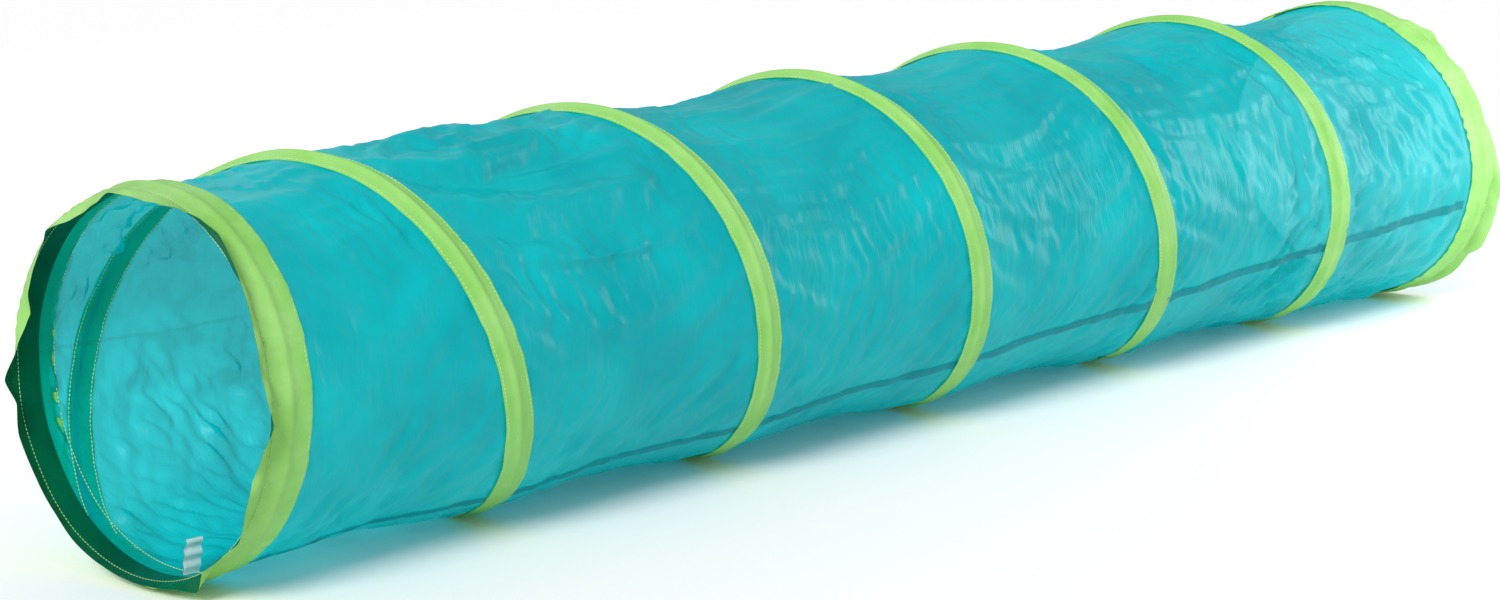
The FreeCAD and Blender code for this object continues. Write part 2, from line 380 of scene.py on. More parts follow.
def crease_patches(xs, angles, spacing):
    """How crumpled the cloth is: most on the far wall behind the front mouth, and along the rear end."""
    patch = np.clip(0.45 + 0.3 * ripple(5, xs.shape, spacing, 260 * MM), 0.15, 1.0)
    far_wall = np.clip(np.cos(angles) + 0.35, 0, 1) * np.clip((FRONT + 0.7 - xs) / 0.25, 0, 1)
    near_wall = np.clip(0.5 - np.cos(angles), 0, 1)
    last = np.clip((xs - LAST_START) / 0.12, 0, 1)
    fifth = np.exp(-(((xs - FIFTH_MIDDLE) / (70 * MM)) ** 2))
    return EVEN_CREASE * patch + FAR_CREASE * far_wall + near_wall * (LAST_CREASE * last + FIFTH_CREASE * fifth)


def crease_shape(xs, angles, spacing):
    """The creases' height, about one unit: folds that slant one way high up, the other low down, and more."""
    shape = xs.shape
    near = np.clip(0.5 - 2.5 * np.cos(angles), 0, 1)
    high = np.clip(0.5 + 2.5 * np.sin(angles), 0, 1)
    falling = ripple(4, shape, spacing, 40 * MM, -0.32, 4.5)
    rising = ripple(3, shape, spacing, 36 * MM, 0.5, 4.0)
    far = ripple(7, shape, spacing, 36 * MM, 0.55, 2.6)
    crisp = (falling * high + rising * (1 - high)) * near + far * (1 - near)
    folds = 0.8 - np.sqrt(crisp**2 + 0.08)
    soft = ripple(6, shape, spacing, 70 * MM, -0.3, 2.5)
    fine = ripple(8, shape, spacing, 20 * MM, -0.3, 3.0)
    return FOLD_SHARE * folds + SOFT_SHARE * soft + FINE_SHARE * fine


def crease_tube():
    """Adds the small creases that are too fine for the simulation, along the cloth's normal."""
    xs, angles = np.meshgrid(TUBE_X, TUBE_ANGLE, indexing="ij")
    spacing = (STEP / 2, FULL * COIL / len(TUBE_ANGLE))
    gap = from_coil(xs, angles)
    mouth = np.minimum(xs - FRONT_EDGE, REAR_EDGE - xs)
    mouth_fade = np.clip(mouth / MOUTH_FADE, 0, 1)
    free = np.clip((gap - CASING_HALF + HELD_LAP) / CASING_FADE, 0, 1) * mouth_fade
    crest = 1 - CREST_CALM * np.exp(-(((angles - CREST_ANGLE) / CREST_SPREAD) ** 2))
    depth = MM * crease_patches(xs, angles, spacing) * crest * crease_shape(xs, angles, spacing)
    gathers = ripple(9, xs.shape, spacing, 15 * MM, math.pi / 2, 2.4)
    close = np.exp(-np.clip(np.minimum(gap - CASING_HALF, mouth + 6 * MM), 0, 1) / GATHER_REACH)
    depth = depth + GATHER_DEPTH * gathers * close
    sewn = np.abs((angles - seam_angle(xs) + math.pi) % FULL - math.pi) * COIL
    depth = depth * (1 - SEAM_CALM * np.exp(-((sewn / SEAM_REACH) ** 2)))
    tuck = (angles - TUCK_ANGLE) * COIL / TUCK_HALF
    depth = depth * free - TUCK_DEPTH * np.exp(-(tuck**2)) * mouth_fade
    ahead = np.gradient(TUBE, axis=0)
    round_it = np.roll(TUBE, -1, 1) - np.roll(TUBE, 1, 1)
    return TUBE + unit(np.cross(round_it, ahead)) * depth[..., None]


TUBE = crease_tube()


def on_tube(x, angle, lift=0.0):
    """Points on the finished cloth of the tube at (x, angle), lifted outwards."""
    x, angle = np.broadcast_arrays(np.asarray(x, float), np.asarray(angle, float))
    row = np.interp(x, TUBE_X, np.arange(len(TUBE_X)))
    column = (angle % FULL) / FULL * len(TUBE_ANGLE)
    r0 = np.clip(np.floor(row).astype(int), 0, len(TUBE_X) - 2)
    c0 = np.floor(column).astype(int) % len(TUBE_ANGLE)
    c1 = (c0 + 1) % len(TUBE_ANGLE)
    fr, fc = (row - r0)[..., None], (column - np.floor(column))[..., None]
    low = TUBE[r0, c0] * (1 - fc) + TUBE[r0, c1] * fc
    high = TUBE[r0 + 1, c0] * (1 - fc) + TUBE[r0 + 1, c1] * fc
    out = np.stack([np.zeros_like(angle), np.cos(angle), np.sin(angle)], axis=-1)
    return low * (1 - fr) + high * fr + lift * out


# ---------------------------------------------------------------- materials


def srgb(red, green, blue):
    """A display colour from 0 to 255, as the linear colour that the shaders use."""
    parts = [c / 255 for c in (red, green, blue)]
    linear = [c / 12.92 if c <= 0.04045 else ((c + 0.055) / 1.055) ** 2.4 for c in parts]
    return (*linear, 1.0)


def new_material(name):
    material = bpy.data.materials.new(name)
    material.use_nodes = True
    return material, material.node_tree, material.node_tree.nodes["Principled BSDF"]


def add_node(tree, kind, **settings):
    node = tree.nodes.new(kind)
    for key, value in settings.items():
        if key.startswith("set_"):
            setattr(node, key[4:], value)
        else:
            node.inputs[key.replace("_", " ")].default_value = value
    return node


# A wave texture at scale 1 goes through this many radians to a metre.
WAVE_RATE = 20
# Where the mottle turns from the dark tone to the light one.
TONE_DARK, TONE_LIGHT = 0.36, 0.68
WEAVE_DEPTH = 0.08 * MM
STREAK_DEPTH, CRUMPLE_DEPTH = 3.2 * MM, 2.2 * MM
STREAK_SLANT = 0.3
# The tint of light that passes straight between the threads.
OPEN_TINT = srgb(176, 243, 250)


def woven(
    name, dark, light, through, share, roughness, sheen, mottle,
    thread=0.35 * MM, specular=0.2, open_share=0.0, streaks=None, glint=(1, 1, 1, 1),
):
    """Thin woven cloth: a satin face mixed with light that comes through from behind.
    dark and light are its two tones and mottle how many patches of them go to a metre. share is how much light
    the threads let through and spread, open_share how much passes straight between them. thread sets the
    weave's pitch, which is 2 pi times it. streaks is how many small crumples go to a metre along the tunnel and
    round it, where they aren't the same each way; glint is the colour of reflections."""
    material, tree, face = new_material(name)
    link = tree.links.new
    place_node = add_node(tree, "ShaderNodeTexCoord")
    cloud = add_node(tree, "ShaderNodeTexNoise", Scale=mottle, Detail=5.0, Roughness=0.6)
    link(place_node.outputs["Object"], cloud.inputs["Vector"])
    tone = add_node(tree, "ShaderNodeValToRGB")
    for element, position, colour in zip(tone.color_ramp.elements, (TONE_DARK, TONE_LIGHT), (dark, light)):
        element.position = position
        element.color = colour
    link(cloud.outputs["Fac"], tone.inputs["Fac"])
    link(tone.outputs["Color"], face.inputs["Base Color"])
    face.inputs["Roughness"].default_value = roughness
    face.inputs["Sheen Weight"].default_value = sheen
    face.inputs["Sheen Roughness"].default_value = 0.4
    face.inputs["Specular IOR Level"].default_value = specular
    face.inputs["Sheen Tint"].default_value = light
    face.inputs["Specular Tint"].default_value = glint
    flat = add_node(tree, "ShaderNodeUVMap", set_uv_map="cloth")
    weave = None
    for direction in ("X", "Y"):
        scale = 1 / thread / WAVE_RATE
        wave = add_node(tree, "ShaderNodeTexWave", set_bands_direction=direction, Scale=scale, Distortion=0.6)
        link(flat.outputs["UV"], wave.inputs["Vector"])
        if weave is None:
            weave = wave.outputs["Fac"]
        else:
            add = add_node(tree, "ShaderNodeMath", set_operation="ADD")
            link(weave, add.inputs[0])
            link(wave.outputs["Fac"], add.inputs[1])
            weave = add.outputs[0]
    bump = add_node(tree, "ShaderNodeBump", Strength=0.25, Distance=WEAVE_DEPTH)
    link(weave, bump.inputs["Height"])
    crumple = add_node(tree, "ShaderNodeTexNoise", Scale=55.0, Detail=4.0, Roughness=0.55)
    if streaks:
        crumple.inputs["Scale"].default_value = 1.0
        crumple.inputs["Distortion"].default_value = 0.8
        across = add_node(tree, "ShaderNodeMapping", Scale=(*streaks, 1.0), Rotation=(0, 0, STREAK_SLANT))
        link(flat.outputs["UV"], across.inputs["Vector"])
        link(across.outputs["Vector"], crumple.inputs["Vector"])
    else:
        link(place_node.outputs["Object"], crumple.inputs["Vector"])
    soft = add_node(tree, "ShaderNodeBump", Strength=0.5, Distance=STREAK_DEPTH if streaks else CRUMPLE_DEPTH)
    link(crumple.outputs["Fac"], soft.inputs["Height"])
    link(bump.outputs["Normal"], soft.inputs["Normal"])
    link(soft.outputs["Normal"], face.inputs["Normal"])
    glow = add_node(tree, "ShaderNodeBsdfTranslucent", Color=through)
    link(soft.outputs["Normal"], glow.inputs["Normal"])
    mix = add_node(tree, "ShaderNodeMixShader", Fac=share)
    link(face.outputs["BSDF"], mix.inputs[1])
    link(glow.outputs["BSDF"], mix.inputs[2])
    surface = mix
    if open_share:
        holes = add_node(tree, "ShaderNodeBsdfTransparent", Color=OPEN_TINT)
        surface = add_node(tree, "ShaderNodeMixShader", Fac=open_share)
        link(mix.outputs["Shader"], surface.inputs[1])
        link(holes.outputs["BSDF"], surface.inputs[2])
    link(surface.outputs["Shader"], tree.nodes["Material Output"].inputs["Surface"])
    return material


def steel(name, colour, roughness):
    material, tree, face = new_material(name)
    link = tree.links.new
    place_node = add_node(tree, "ShaderNodeTexCoord")
    marks = add_node(tree, "ShaderNodeTexNoise", Scale=400.0, Detail=3.0)
    link(place_node.outputs["Object"], marks.inputs["Vector"])
    spread = add_node(tree, "ShaderNodeMapRange", To_Min=roughness - 0.08, To_Max=roughness + 0.1)
    link(marks.outputs["Fac"], spread.inputs["Value"])
    link(spread.outputs["Result"], face.inputs["Roughness"])
    face.inputs["Base Color"].default_value = colour
    face.inputs["Metallic"].default_value = 1.0
    return material


TEAL = woven(
    "teal_taffeta",
    dark=srgb(0, 170, 179),
    light=srgb(0, 204, 209),
    through=srgb(0, 222, 227),
    share=0.42,
    roughness=0.36,
    sheen=0.02,
    mottle=7.0,
    specular=0.34,
    open_share=0.07,
    streaks=(75.0, 16.0),
    glint=(0.55, 0.96, 1.0, 1),
)
TEAL_DOUBLE = woven(
    "teal_taffeta_doubled",
    dark=srgb(0, 148, 158),
    light=srgb(0, 166, 174),
    through=srgb(0, 190, 196),
    share=0.45,
    roughness=0.4,
    sheen=0.02,
    mottle=9.0,
)
# The hem lining is teal cloth. Its dark green base colour is painted shade: the inside of the hem in shadow, tinted
# by light coming through the lime strip.
TEAL_LINING_PAINTED_SHADE = woven(
    "teal_hem_lining_painted_shade",
    dark=srgb(0, 92, 62),
    light=srgb(0, 118, 80),
    through=srgb(0, 140, 64),
    share=0.3,
    roughness=0.4,
    sheen=0.02,
    mottle=12.0,
)
LIME = woven(
    "lime_strip",
    dark=srgb(160, 229, 116),
    light=srgb(184, 243, 144),
    through=srgb(70, 205, 60),
    share=0.36,
    roughness=0.4,
    sheen=0.12,
    mottle=16.0,
)
THREAD = woven(
    "lime_thread",
    dark=srgb(176, 226, 140),
    light=srgb(206, 240, 176),
    through=srgb(180, 230, 140),
    share=0.1,
    roughness=0.5,
    sheen=0.2,
    thread=0.5 * MM,
    mottle=40.0,
)
TAPE = woven(
    "white_tape",
    dark=srgb(226, 236, 238),
    light=srgb(248, 252, 252),
    through=srgb(220, 240, 240),
    share=0.3,
    roughness=0.6,
    sheen=0.1,
    thread=0.6 * MM,
    mottle=60.0,
)
SPRING_STEEL = steel("spring_steel", srgb(170, 172, 176), 0.35)
CRIMP_STEEL = steel("crimp_steel", srgb(196, 198, 202), 0.3)

# ---------------------------------------------------------------- the tube's pieces


def tube_pieces():
    """The tube's cloth in eight pieces: one for each turn, cut along the coil, and an edge at each mouth."""
    rows, columns = TUBE.shape[:2]
    faces = grid_faces(rows, columns, closed=True)
    row = np.repeat(np.arange(rows - 1), columns)
    column = np.tile(np.arange(columns), rows - 1)
    x = (TUBE_X[row] + TUBE_X[row + 1]) / 2
    angle = (column + 0.5) / columns * FULL
    crossed = np.floor((x - FRONT) / PITCH - first_turn(angle)) + 1
    owner = np.clip(crossed, 0, len(BODIES) - 1).astype(int)
    names = [f"tube_cloth_{n + 1}" for n in range(len(BODIES))] + ["front_tube_cloth", "rear_tube_cloth"]
    points = TUBE.reshape(-1, 3)
    middle = points[faces][:, :, 0].mean(axis=1)
    owner = np.where(middle < FRONT_EDGE, len(BODIES), owner)
    owner = np.where(middle > REAR_EDGE, len(BODIES) + 1, owner)
    bodies = BODIES + ["front_end", "rear_end"]
    nodes = [f"tube_stretch_{n + 1}" for n in range(len(BODIES))] + ["front_tube_edge", "rear_tube_edge"]
    uv = np.stack(np.meshgrid(TUBE_X, TUBE_ANGLE * COIL, indexing="ij"), axis=-1).reshape(-1, 2)
    normals = smooth_normals(points, faces)
    # Each panel's greatest and mean width as cut: the coil crosses the first and the last one on a slant.
    cuts = [(PITCH - FACET, PITCH / 2 - FACET)] + [(PITCH, PITCH)] * 4 + [(1.5 * PITCH - FACET, PITCH - FACET)]
    cuts += [(FACET + STITCH_LINE, FACET + STITCH_LINE)] * 2
    for number, name in enumerate(names):
        chosen = faces[owner == number]
        used, renumbered = np.unique(chosen, return_inverse=True)
        quads = renumbered.reshape(-1, 4)
        piece = new_piece(name, points[used], quads, TEAL, bodies[number], uv[used])
        piece.data.normals_split_custom_set_from_vertices(normals[used].tolist())
        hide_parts(nodes[number])
        if number < len(BODIES):
            closes_with(piece)


def smooth_normals(points, faces):
    """One normal for each point, over the whole tube, so that its pieces meet without a line."""
    corners = points[faces]
    face_normals = np.cross(corners[:, 2] - corners[:, 0], corners[:, 3] - corners[:, 1])
    normals = np.zeros_like(points)
    for corner in range(4):
        np.add.at(normals, faces[:, corner], face_normals)
    return normals / np.maximum(np.linalg.norm(normals, axis=1, keepdims=True), 1e-12)


tube_pieces()

# ---------------------------------------------------------------- the spiral casing

STEPS_A_TURN = 220
STEPS_ACROSS = 25
RIDGE_HALF = 4.2 * MM
# How far the casing stands off the skin at its edges, and how much more beside the ridge.
EDGE_LIFT, FLANK_LIFT = 1.3 * MM, 1.0 * MM
SCALLOP_DEPTH, PUCKER_DEPTH, SLOW_DEPTH = 0.9 * MM, 0.45 * MM, 0.5 * MM


def body_turns(number):
    """The part of the coil, in turns, that goes with body number 0 to 5."""
    lead = FACET / PITCH
    start = lead if number == 0 else number
    end = TURNS - lead if number == len(BODIES) - 1 else number + 1
    return start, end


def pucker(seed, turn, wave):
    """Seeded unevenness along the coil, about one unit high, with waves of a length in metres."""
    generator = np.random.default_rng(seed)
    knots = int(TURNS * FULL * COIL / wave) + 2
    heights = generator.uniform(-1, 1, knots)
    return smooth_steps(list(enumerate(heights)), np.clip(turn / TURNS, 0, 1) * (knots - 1))


def ridge_lift(gap):
    """How far the casing stands off the skin, from the distance to the wire."""
    share = np.clip(gap / CASING_HALF, 0, 1)
    ridge = np.exp(-((gap / RIDGE_HALF) ** 2))
    flank = EDGE_LIFT + FLANK_LIFT * (1 - share) ** 1.5
    return flank + (RIDGE - SKIN - EDGE_LIFT - FLANK_LIFT) * ridge


def casing_surface(turn, across):
    """Points of the spiral casing, and their places on the flat strip: across runs from -1 to 1 over its width."""
    edge = np.abs(across) ** 3
    scallop = np.where(across > 0, pucker(11, turn, 13 * MM), pucker(12, turn, 15 * MM))
    offset = across * CASING_HALF + edge * np.sign(across) * SCALLOP_DEPTH * scallop
    gap = np.abs(across) * CASING_HALF
    wave = PUCKER_DEPTH * pucker(13, turn, 11 * MM) * (np.abs(across) ** 1.5) * (1 - np.abs(across) ** 8)
    slow = SLOW_DEPTH * pucker(14, turn, 70 * MM) * (1 - across**2)
    radius = held_radius(gap, turn * FULL - math.pi / 2) + ridge_lift(gap) + wave + slow
    x, angle = on_coil(turn)
    flat = np.stack([turn * FULL * COIL, across * CASING_HALF], axis=-1)
    return place(x + offset, angle, radius), flat


def spiral_casings():
    across = np.linspace(-1, 1, STEPS_ACROSS)
    for number, body in enumerate(BODIES):
        start, end = body_turns(number)
        count = round((end - start) * STEPS_A_TURN) + 1
        turns, over = np.meshgrid(np.linspace(start, end, count), across, indexing="ij")
        points, flat = casing_surface(turns, over)
        faces = grid_faces(count, len(across))
        name = f"spiral_strip_{number + 1}"
        piece = new_piece(name, points.reshape(-1, 3), faces, LIME, body, flat.reshape(-1, 2))
        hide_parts(f"spiral_casing_{number + 1}")
        closes_with(piece)


spiral_casings()

# ---------------------------------------------------------------- the mouths

# The free edge of each hem, going round: its angle in degrees, how far it rises from the skin and how far
# it reaches beyond the stitch line, in millimetres.
FRONT_HEM = [
    (3, -15, 10), (12, -17, 2), (16, -18, 0), (25, -16, 8), (37, -14, 11), (47, -12, 14), (52, -7, 16),
    (63, -13, 12), (71, -14, 12), (80, -11, 15), (87, -3, 18), (103, -3, 18), (110, 1, 18), (117, 8, 16),
    (124, 14, 12), (130, 16, 8), (137, 15, 10), (148, 13, 13), (159, 10, 15), (169, 9, 16), (176, 11, 14),
    (183, 15, 10), (191, 8, 16), (199, 3, 18), (207, 4, 17), (218, 11, 15), (225, 6, 17), (235, 3, 18),
    (243, 15, 11), (250, 5, 17), (260, -1, 18), (271, -4, 17), (282, -7, 17), (294, -8, 16), (307, -11, 14),
    (320, -11, 14), (335, -10, 15), (345, -13, 12), (353, -4, 17),
]
REAR_HEM = [
    (0, -8, 14), (22, -12, 9), (40, -10, 10), (62, -7, 13), (80, -9, 10), (108, -7, 12), (122, 4, 14),
    (131, -6, 9), (150, -5, 10), (166, -6, 9), (180, -2, 13), (196, 6, 17), (208, 9, 16), (216, 12, 12),
    (222, 4, 12), (232, 8, 14), (244, 6, 15), (256, -2, 14), (275, -5, 15), (300, -8, 13), (318, -12, 9),
    (336, -11, 10),
]


def hem_edge(hem, angle):
    """The hem's rise and reach in metres at each angle, as straight folds with softened corners."""
    degrees = np.degrees(angle) % 360
    closed = hem + [(hem[0][0] + 360, hem[0][1], hem[0][2])]
    knots = np.array([row[0] for row in closed], float)
    degrees = np.where(degrees < knots[0], degrees + 360, degrees)
    found = []
    for column in (1, 2):
        values = np.array([row[column] for row in closed], float)
        line = np.interp(degrees, knots, values)
        smooth = smooth_steps(list(zip(knots, values)), degrees)
        found.append(MM * (0.6 * line + 0.4 * smooth))
    return found


def coil_under(angle, x, outward):
    """Extra height of a mouth's strip where the coil runs in under it."""
    first = first_turn(angle)
    turn = first if outward < 0 else first + np.floor(TURNS - first)
    coil_x = FRONT + PITCH * turn + coil_lay(turn)
    gap = np.abs(x - coil_x)
    flat = np.clip((CASING_HALF + 4 * MM - gap) / (4 * MM), 0, 1) * 2.1 * MM
    return np.where(gap < CASING_HALF, ridge_lift(gap) + 0.7 * MM, flat)


def mouth_x(offset, angle, outward):
    """The x of a place on a mouth's strip, from its distance beyond the wire loop."""
    if outward < 0:
        return FRONT - offset
    return REAR + offset + rear_lay(angle)


# Rows of a mouth's strip inwards and outwards of the wire: pairs of distance from it and height off the
# skin, in millimetres.
INNER_ROWS = [(27, 1.7), (25.5, 2.1), (22, 2.4), (18, 2.5), (14, 2.7), (11, 2.9), (8, 3.2), (5, 3.8), (2.5, 4.7)]
OUTER_ROWS = [(0, 5.2), (2.5, 4.7), (5, 3.6), (8, 2.7), (12, 1.9), (16, 1.3), (18.5, 0.9), (20, 0.4), (21.5, 0.9)]
FLAP_STEPS = 10
STEPS_ROUND_MOUTH = 540
# The strip's unevenness: of its inner edge, of its height, and of the hem's bulge and its foot.
EDGE_JITTER, PINCH_DEPTH, FLAP_RIPPLE, FOOT_RIPPLE = 0.5 * MM, 0.3 * MM, 1.2 * MM, 0.25 * MM
# Where the hem starts, beyond the stitch line and off the skin, and how far it bulges out.
FLAP_START, FLAP_FOOT, FLAP_BULGE = 1.5 * MM, 0.9 * MM, 1.0 * MM
# How far inside the skin and the hem the lining lies.
LINING_DROP = 0.8 * MM
# How far past the wire it reaches into the tube.
LINING_LAP = 6 * MM


def mouth_strip(hem, seed, outward):
    """Rows of points of the strip round a mouth, from its inner edge over the wire to the hem's free edge,
    and their distances from the wire on the flat cloth."""
    angle = mouth_angles()
    spacing = (FULL * COIL / STEPS_ROUND_MOUTH, 1.0)
    ring = ripple(seed, (STEPS_ROUND_MOUTH, 4), spacing, 60 * MM)[:, 0]
    tiny = ripple(seed + 1, (STEPS_ROUND_MOUTH, 4), spacing, 17 * MM)[:, 0]
    points, flats = [], []
    for distance, lift in [(-d, h) for d, h in INNER_ROWS] + OUTER_ROWS:
        side = 1.0 if distance < -26 else 0.0
        x = mouth_x(distance * MM + side * EDGE_JITTER * tiny, angle, outward)
        pinch = PINCH_DEPTH * tiny * np.clip((abs(distance) - 5) / 8, 0, 1) + PINCH_DEPTH * ring
        height = np.maximum(lift * MM + pinch, coil_under(angle, x, outward) * (distance < 16))
        points.append(settle(x, angle, SKIN + height))
        flats.append(distance * MM)
    rise, reach = hem_edge(hem, angle)
    for step in range(1, FLAP_STEPS + 1):
        share = step / FLAP_STEPS
        x = mouth_x(STITCH_LINE + FLAP_START + reach * share, angle, outward)
        bulge = math.sin(share * math.pi) * (FLAP_RIPPLE * ring + FLAP_BULGE)
        radius = SKIN + FLAP_FOOT + rise * share + bulge + FOOT_RIPPLE * tiny * (1 - share)
        points.append(settle(x, angle, radius))
        flats.append(STITCH_LINE + (HEM - STITCH_LINE) * share)
    return np.stack(points), np.array(flats)


def mouth_lining(flap, flap_flats, outward):
    """Rows of points of the tube's cloth turned in under the wire and the hem, and their flat distances."""
    inward = unit(outward * np.cross(np.gradient(flap, axis=0), np.roll(flap, -1, 1) - np.roll(flap, 1, 1)))
    shares = np.linspace(0, 1, FLAP_STEPS)[:, None, None]
    under = np.linspace(-LINING_LAP, STITCH_LINE, 9)
    angle = mouth_angles()
    held = [settle(mouth_x(distance, angle, outward), angle, SKIN - LINING_DROP) for distance in under]
    points = np.concatenate([held, flap + inward * LINING_DROP * (1.2 - shares)])
    return points, np.concatenate([under, flap_flats])


def mouth_angles():
    return np.arange(STEPS_ROUND_MOUTH) / STEPS_ROUND_MOUTH * FULL


def mouth_ring(name, points, flats, material, outward, body):
    """A ring of cloth at a mouth from its rows of points, with its face turned outwards."""
    flat = np.stack(np.meshgrid(flats, mouth_angles() * COIL, indexing="ij"), axis=-1)
    if outward > 0:
        points = points[:, ::-1]
        flat = flat[:, ::-1]
    faces = grid_faces(len(flats), STEPS_ROUND_MOUTH, closed=True)
    piece = new_piece(name, points.reshape(-1, 3), faces, material, body, flat.reshape(-1, 2))
    return piece


def mouth_cloth(end, hem, seed, outward):
    """The lime strip with its loose hem, and the lining, of the front or the rear mouth."""
    body = f"{end}_end"
    points, flats = mouth_strip(hem, seed, outward)
    strip = mouth_ring(f"{end}_mouth_strip", points, flats, LIME, outward, body)
    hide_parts(f"{end}_mouth_casing")
    points, flats = mouth_lining(points[-FLAP_STEPS:], flats[-FLAP_STEPS:], outward)
    # The lining's material carries painted shade in its dark green colour.
    mouth_ring(f"{end}_mouth_lining", points, flats, TEAL_LINING_PAINTED_SHADE, outward, body)


mouth_cloth("front", FRONT_HEM, 21, -1)
mouth_cloth("rear", REAR_HEM, 31, 1)

# ---------------------------------------------------------------- wires, seam, label


WIRE_SIDES = 10
# Where the coil's straight end leaves a mouth's loop, in turns.
LEAD_GAP = 0.012


def swept(path, closed=False):
    """Points and faces of the round wire along a path of points."""
    ahead = unit(np.roll(path, -1, 0) - np.roll(path, 1, 0) if closed else np.gradient(path, axis=0))
    side = unit(np.cross(ahead, away_from_axis(path)))
    out = np.cross(side, ahead)
    turn = np.arange(WIRE_SIDES) / WIRE_SIDES * FULL
    ring = np.cos(turn)[None, :, None] * out[:, None, :] + np.sin(turn)[None, :, None] * side[:, None, :]
    points = path[:, None, :] + WIRE * ring
    faces = grid_faces(len(path), WIRE_SIDES, closed=True)
    if closed:
        last = (len(path) - 1) * WIRE_SIDES + np.arange(WIRE_SIDES)
        first = np.arange(WIRE_SIDES)
        join = np.stack([last, np.roll(last, -1), np.roll(first, -1), first], axis=-1)
        faces = np.concatenate([faces, join])
    return points.reshape(-1, 3), faces


def turn_at(station, near):
    """Where the coil as it lies passes a station along the tunnel, in turns."""
    turns = np.linspace(near - 0.15, near + 0.15, 3001)
    return float(turns[np.argmin(np.abs(FRONT + PITCH * turns + coil_lay(turns) - station))])


def wire_piece(name, node, body, path, closed=False):
    points, faces = swept(path, closed)
    piece = new_piece(name, points, faces, SPRING_STEEL, body)
    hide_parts(node)
    return piece


def coil_path(start, end, count):
    x, angle = on_coil(np.linspace(start, end, count))
    return place(x, angle, COIL)


def wires():
    """The coil's turns, its two ends beside the loops, and the loops."""
    coil_start = turn_at(FRONT_EDGE, 0.15)
    coil_end = turn_at(REAR_EDGE, TURNS - 0.15)
    for number, body in enumerate(BODIES):
        start = number or coil_start
        end = min(number + 1, coil_end)
        path = coil_path(start, end, round((end - start) * 160) + 1)
        piece = wire_piece(f"spring_wire_{number + 1}", f"spring_turn_{number + 1}", body, path)
        closes_with(piece)
    wire_piece("front_lead_wire", "front_lead", "front_end", coil_path(LEAD_GAP, coil_start, 24))
    wire_piece("rear_lead_wire", "rear_lead", "rear_end", coil_path(coil_end, TURNS - LEAD_GAP, 24))
    for name, outward in (("front", -1), ("rear", 1)):
        angle = np.arange(200) / 200 * FULL
        path = settle(mouth_x(0.0, angle, outward), angle, COIL)
        wire_piece(f"{name}_loop_wire", f"{name}_loop", f"{name}_end", path, closed=True)


SLEEVE_LENGTH = 18 * MM
SLEEVE_WALL = 0.9 * MM
SLEEVE_TURN = 0.024
# The sleeve is pressed in at this share of its length each way from its middle, this wide and this deep.
PRESS_PLACE, PRESS_HALF, PRESS_DEPTH = 0.22, 0.07, 0.14


def crimp_sleeve(name, body, turn, outward):
    """A flattened steel sleeve round the loop and the coil's end, pressed in at two places."""
    along = np.linspace(-0.5, 0.5, 31)
    angle = turn * FULL - math.pi / 2 + along * SLEEVE_LENGTH / COIL
    loop_x = mouth_x(0.0, angle, outward)
    turns = turn + along * SLEEVE_LENGTH / (FULL * COIL)
    lead_x = FRONT + PITCH * turns + coil_lay(turns)
    middle, half = (loop_x + lead_x) / 2, np.abs(lead_x - loop_x) / 2
    presses = [np.exp(-(((along - place_at) / PRESS_HALF) ** 2)) for place_at in (PRESS_PLACE, -PRESS_PLACE)]
    pressed = 1 - PRESS_DEPTH * (presses[0] + presses[1])
    closing = np.clip((0.5 - np.abs(along)) / 0.04, 0, 1)
    size = (WIRE + SLEEVE_WALL * (0.2 + 0.8 * np.sqrt(closing))) * pressed
    corner = np.arange(28) / 28 * FULL
    sideways = half[:, None] * np.sign(np.cos(corner)) + size[:, None] * np.cos(corner)
    outwards = size[:, None] * np.sin(corner)
    points = settle(middle[:, None] + sideways, angle[:, None], COIL + outwards)
    faces = grid_faces(len(along), len(corner), closed=True)
    piece = new_piece(name, points.reshape(-1, 3), faces, CRIMP_STEEL, body)
    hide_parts(name.replace("_sleeve", ""))


wires()
crimp_sleeve("front_ferrule_sleeve", "front_end", SLEEVE_TURN, -1)
crimp_sleeve("rear_ferrule_sleeve", "rear_end", TURNS - SLEEVE_TURN, 1)

SEAM_LIFT = 0.9 * MM


def seams():
    """The lower long seam, as a doubled strip that lies on the tube's cloth."""
    across = np.linspace(-1, 1, 5)
    for number, body in enumerate(BODIES):
        x = np.linspace(FRONT_EDGE + number * STRETCH, FRONT_EDGE + (number + 1) * STRETCH, 90)
        xs, over = np.meshgrid(x, across, indexing="ij")
        points = on_tube(xs, seam_angle(xs) + over * SEAM_HALF / COIL, lift=SEAM_LIFT)
        flat = np.stack([xs, over * SEAM_HALF], axis=-1)
        faces = grid_faces(len(x), len(across))
        name, flat = f"tube_seam_{number + 1}", flat.reshape(-1, 2)
        piece = new_piece(name, points.reshape(-1, 3), faces, TEAL_DOUBLE, body, flat)
        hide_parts(f"seam_stretch_{number + 1}")
        closes_with(piece)


seams()


LABEL_STEPS = 25
LABEL_STEPS_ACROSS = 9


